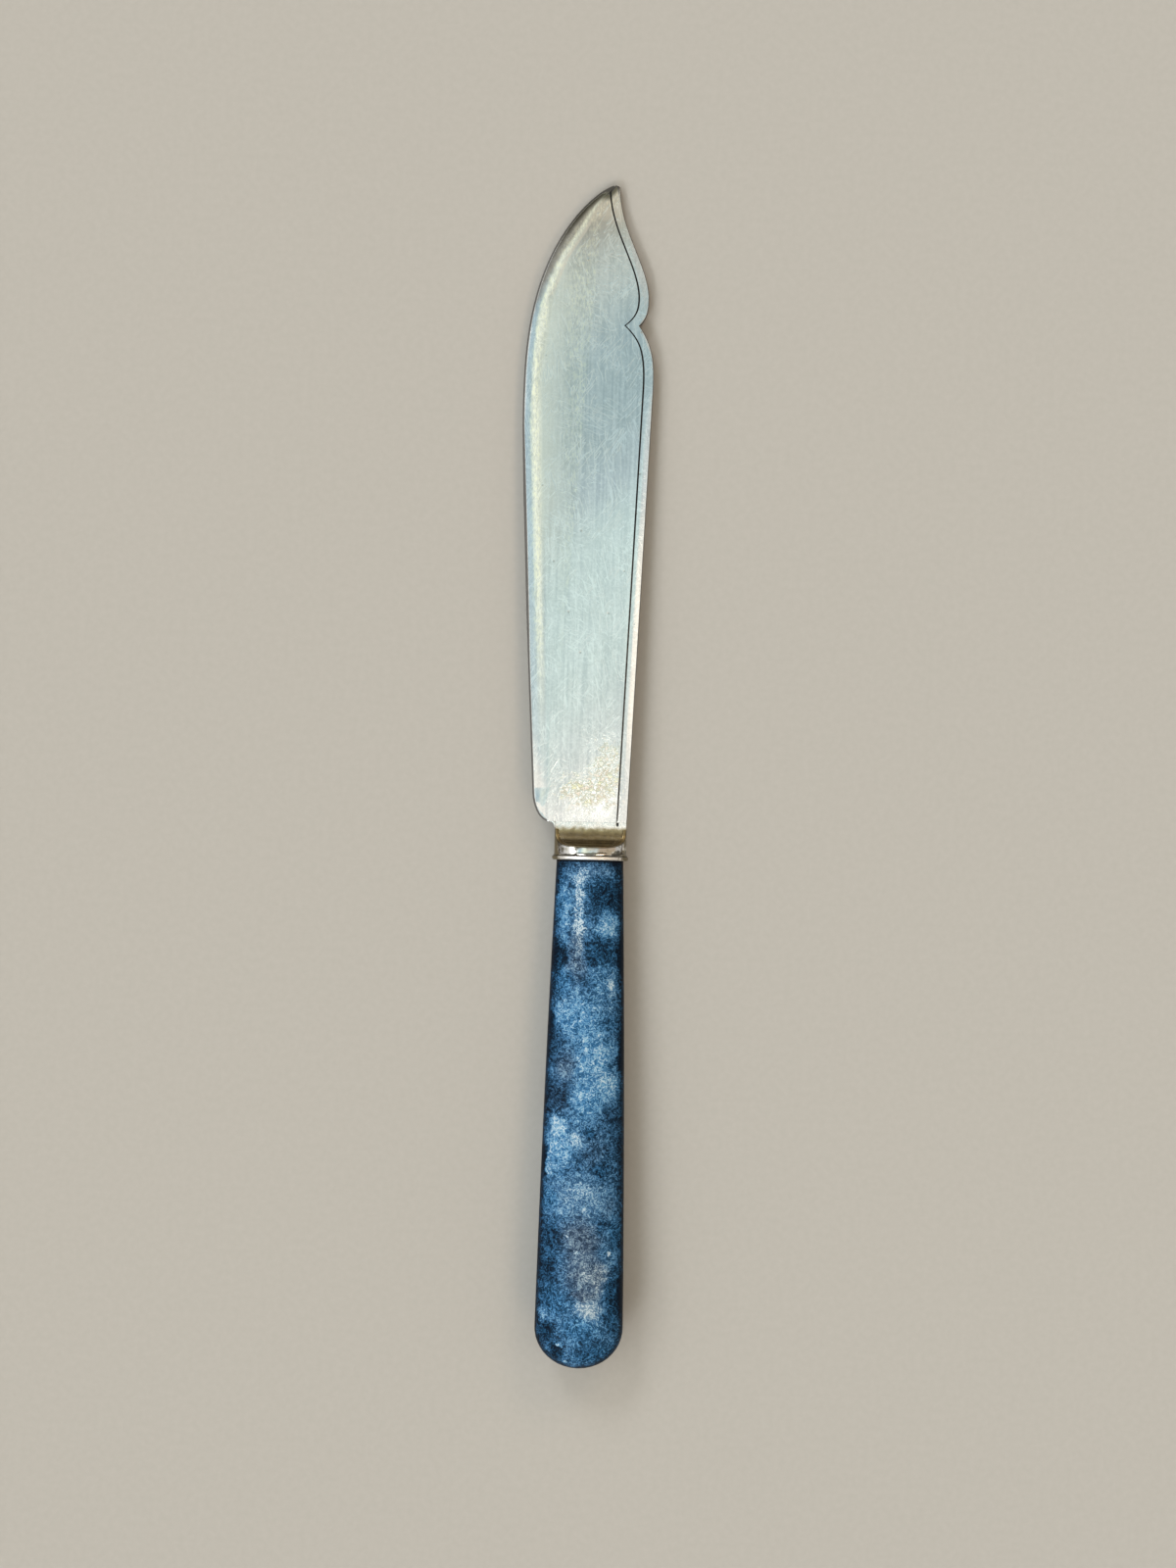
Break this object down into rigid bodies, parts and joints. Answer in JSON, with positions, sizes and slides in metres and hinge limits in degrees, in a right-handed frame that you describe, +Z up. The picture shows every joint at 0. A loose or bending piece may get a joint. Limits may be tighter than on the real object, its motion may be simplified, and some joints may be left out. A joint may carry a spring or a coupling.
{
  "type": "fish knife",
  "caption": "Table fish knife: flat notched silver blade with an engraved line, scooped bolster, lipped collar and a rounded mottled blue handle.",
  "frame": {"origin": "middle of the space that the knife takes up as it lies on a table, at table height", "axes": "+Y from the butt to the tip, +Z up out of the engraved face, -X towards the cutting edge; the knife lies nose down on the lip of its collar and its tip"},
  "size_m": [0.0226, 0.2045, 0.0116],
  "materials": {
    "blade_silver": "satin",
    "bolster_silver": "polished",
    "collar_silver": "polished",
    "tang_steel": "matte",
    "cement": "matte",
    "handle_blue": "satin"
  },
  "bodies": {
    "root": {"blade": "blade_silver", "bolster": "bolster_silver", "ferrule": "collar_silver", "tang": "tang_steel", "tang_cement": "cement", "handle": "handle_blue"}
  },
  "joints": []
}
